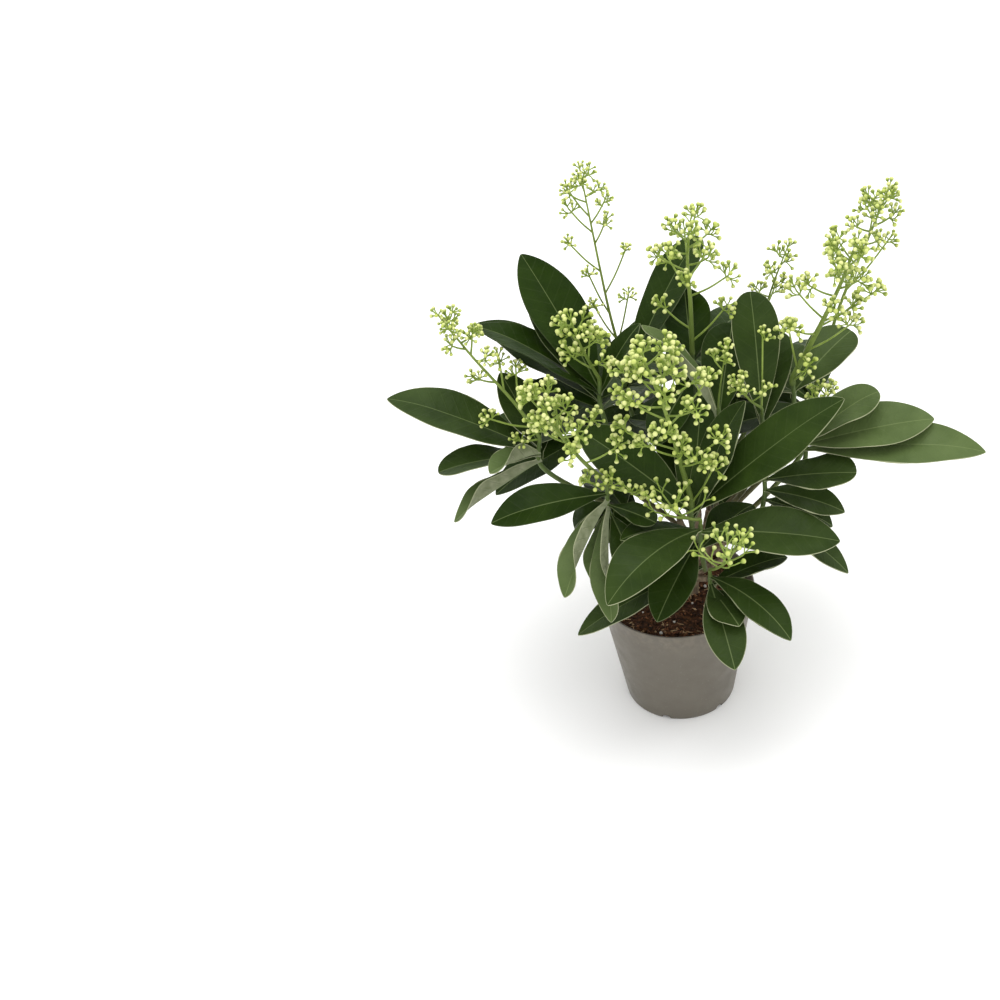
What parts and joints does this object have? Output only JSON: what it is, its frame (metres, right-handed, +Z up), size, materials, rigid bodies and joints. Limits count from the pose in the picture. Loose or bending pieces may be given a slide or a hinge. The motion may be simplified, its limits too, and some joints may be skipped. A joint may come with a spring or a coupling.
{
  "type": "potted skimmia",
  "caption": "Bushy evergreen shrub with leathery elliptic leaves and upright panicles of closed pale green flower buds, growing in a small round tapered nursery pot.",
  "frame": {"origin": "centre of the pot's underside, where it rests", "axes": "+Z up along the pot's axis; -Y is the plant's front, +X its right as seen from the front"},
  "size_m": [0.3752, 0.2754, 0.38],
  "materials": {
    "pot_plastic": "satin taupe nursery-pot plastic",
    "peat": "rough, crumbly reddish-brown peat and coir",
    "bark": "matt, finely ridged tan bark",
    "leaf_green": "leathery, half-gloss dark green",
    "bud_green": "smooth, waxy pale yellow-green"
  },
  "bodies": {
    "root": {"leafy_shoot_back_left": "leaf_green", "leafy_shoot_back_low": "leaf_green", "leafy_shoot_back_low_left": "leaf_green", "leafy_shoot_back_low_right": "leaf_green", "leafy_shoot_back_right": "leaf_green", "leafy_shoot_back_tall": "leaf_green", "leafy_shoot_centre": "leaf_green", "leafy_shoot_far_left": "leaf_green", "leafy_shoot_far_right_back": "leaf_green", "leafy_shoot_front": "leaf_green", "leafy_shoot_front_low": "leaf_green", "leafy_shoot_inner": "leaf_green", "leafy_shoot_left": "leaf_green", "leafy_shoot_middle": "leaf_green", "leafy_shoot_right": "leaf_green", "leafy_shoot_right_back": "leaf_green", "leafy_shoot_right_high": "leaf_green", "leafy_shoot_right_low": "leaf_green", "panicle_back_small": "bud_green", "panicle_centre": "bud_green", "panicle_far_left": "bud_green", "panicle_far_right_small": "bud_green", "panicle_front": "bud_green", "panicle_front_low": "bud_green", "panicle_inner_small": "bud_green", "panicle_left": "bud_green", "panicle_left_of_centre": "bud_green", "panicle_right_small": "bud_green", "panicle_tall_far_right": "bud_green", "panicle_tall_left": "bud_green", "panicle_tall_middle": "bud_green", "panicle_tall_right": "bud_green", "pot": "pot_plastic", "soil": "peat", "trunk": "bark"}
  },
  "joints": []
}
